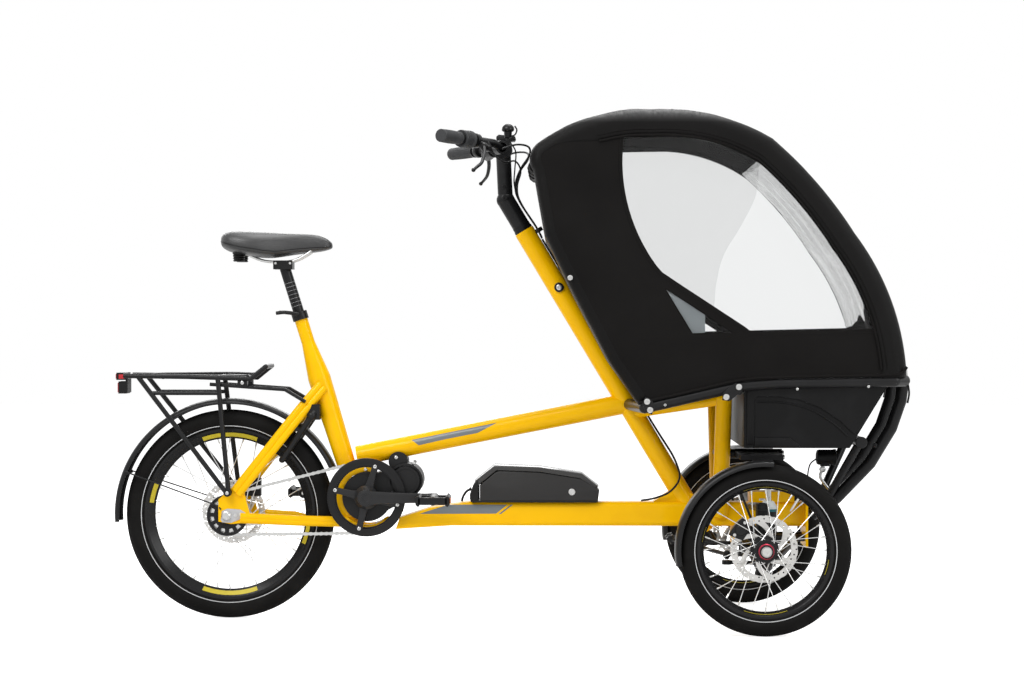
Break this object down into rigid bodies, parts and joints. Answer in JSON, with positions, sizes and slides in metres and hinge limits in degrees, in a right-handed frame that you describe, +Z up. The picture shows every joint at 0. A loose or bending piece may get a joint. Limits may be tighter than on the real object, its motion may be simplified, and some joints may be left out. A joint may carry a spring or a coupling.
{
  "type": "electric cargo tricycle",
  "caption": "Long orange electric cargo tricycle with two steered front wheels under a black hooded passenger box, one driven rear wheel, luggage rack and low battery.",
  "frame": {"origin": "on the ground under the middle of the machine's length and width", "axes": "+X forward along the machine, +Y to the rider's left, +Z up"},
  "size_m": [1.9639, 0.736, 1.2468],
  "materials": {
    "frame_paint": "gloss orange yellow",
    "black_metal": "satin black",
    "steel": "bright",
    "tyre": "matte",
    "clear_film": "clear film",
    "fabric": "matte woven",
    "rubber": "matte",
    "saddle_cover": "satin",
    "plastic": "matte"
  },
  "bodies": {
    "frame": {"arms": "black_metal", "battery": "plastic", "bench": "fabric", "box_rail": "black_metal", "chain": "steel", "frame_hoses": "rubber", "front_bulkhead": "frame_paint", "front_hoop": "black_metal", "front_posts": "frame_paint", "headlight": "plastic", "hood": "fabric", "hood_windows": "clear_film", "lower_tube": "frame_paint", "motor": "plastic", "motor_bracket": "frame_paint", "rack": "black_metal", "rear_axle": "steel", "rear_caliper": "black_metal", "rear_mudguard": "plastic", "rear_stays": "frame_paint", "ring_lock": "plastic", "seat_collar": "black_metal", "seat_tube": "frame_paint", "steering_tube": "frame_paint", "tail_light": "plastic", "tilt_rocker": "black_metal", "tilt_struts": "black_metal", "tub": "plastic", "upper_tube": "frame_paint"},
    "steering": {"steering_column": "black_metal", "handlebar": "black_metal", "grips": "rubber", "brake_levers": "black_metal", "bar_controls": "plastic"},
    "tie_rod_left": {"left_tie_rod": "black_metal"},
    "tie_rod_right": {"right_tie_rod": "black_metal"},
    "knuckle_left": {"left_knuckle": "black_metal", "left_mudguard": "plastic"},
    "knuckle_right": {"right_knuckle": "black_metal", "right_mudguard": "plastic"},
    "wheel_left": {"left_tyre": "tyre", "left_wheel": "black_metal", "left_rotor": "steel"},
    "wheel_right": {"right_tyre": "tyre", "right_wheel": "black_metal", "right_rotor": "steel"},
    "wheel_rear": {"rear_tyre": "tyre", "rear_wheel": "black_metal", "rear_rotor": "steel", "sprocket": "steel"},
    "crank": {"crankset": "black_metal"},
    "pedal_near": {"pedal_right": "plastic"},
    "pedal_far": {"pedal_left": "plastic"},
    "seat": {"seat_post": "black_metal", "saddle": "saddle_cover"}
  },
  "joints": [
    {"name": "steering", "type": "hinge", "parent": "frame", "child": "steering", "pos_m": [0.031, 0, 0.965], "axis": [-0.5135, 0, 0.8581], "range_deg": [-31, 31]},
    {"name": "steer_left", "type": "hinge", "parent": "frame", "child": "knuckle_left", "pos_m": [0.601, 0.25, 0.2025], "axis": [0, 0, 1], "range_deg": [-31, 31]},
    {"name": "wheel_left_spin", "type": "hinge", "parent": "knuckle_left", "child": "wheel_left", "pos_m": [0.601, 0.325, 0.2025], "axis": [0, 1, 0], "continuous": true},
    {"name": "tie_rod_left_pivot", "type": "hinge", "parent": "steering", "child": "tie_rod_left", "pos_m": [0.395, 0.025, 0.2], "axis": [-0.5135, 0, 0.8581], "range_deg": [-31, 31]},
    {"name": "steer_right", "type": "hinge", "parent": "frame", "child": "knuckle_right", "pos_m": [0.601, -0.25, 0.2025], "axis": [0, 0, 1], "range_deg": [-31, 31]},
    {"name": "wheel_right_spin", "type": "hinge", "parent": "knuckle_right", "child": "wheel_right", "pos_m": [0.601, -0.325, 0.2025], "axis": [0, 1, 0], "continuous": true},
    {"name": "tie_rod_right_pivot", "type": "hinge", "parent": "steering", "child": "tie_rod_right", "pos_m": [0.395, -0.025, 0.2], "axis": [-0.5135, 0, 0.8581], "range_deg": [-31, 31]},
    {"name": "wheel_rear_spin", "type": "hinge", "parent": "frame", "child": "wheel_rear", "pos_m": [-0.702, 0, 0.26], "axis": [0, 1, 0], "continuous": true},
    {"name": "crank_spin", "type": "hinge", "parent": "frame", "child": "crank", "pos_m": [-0.358, 0, 0.305], "axis": [0, 1, 0], "continuous": true},
    {"name": "pedal_near_spin", "type": "hinge", "parent": "crank", "child": "pedal_near", "pos_m": [-0.188, -0.137, 0.305], "axis": [0, 1, 0], "continuous": true},
    {"name": "pedal_far_spin", "type": "hinge", "parent": "crank", "child": "pedal_far", "pos_m": [-0.528, 0.137, 0.305], "axis": [0, 1, 0], "continuous": true},
    {"name": "seat_height", "type": "slide", "parent": "frame", "child": "seat", "axis": [-0.2982, 0, 0.9545], "range_m": [-0.1, 0.09]}
  ],
  "couplings": [
    {"joint": "steer_left", "follows": "steering", "ratio": 0.96},
    {"joint": "steer_right", "follows": "steering", "ratio": 0.96},
    {"joint": "tie_rod_left_pivot", "follows": "steering", "ratio": -1},
    {"joint": "tie_rod_right_pivot", "follows": "steering", "ratio": -1}
  ]
}
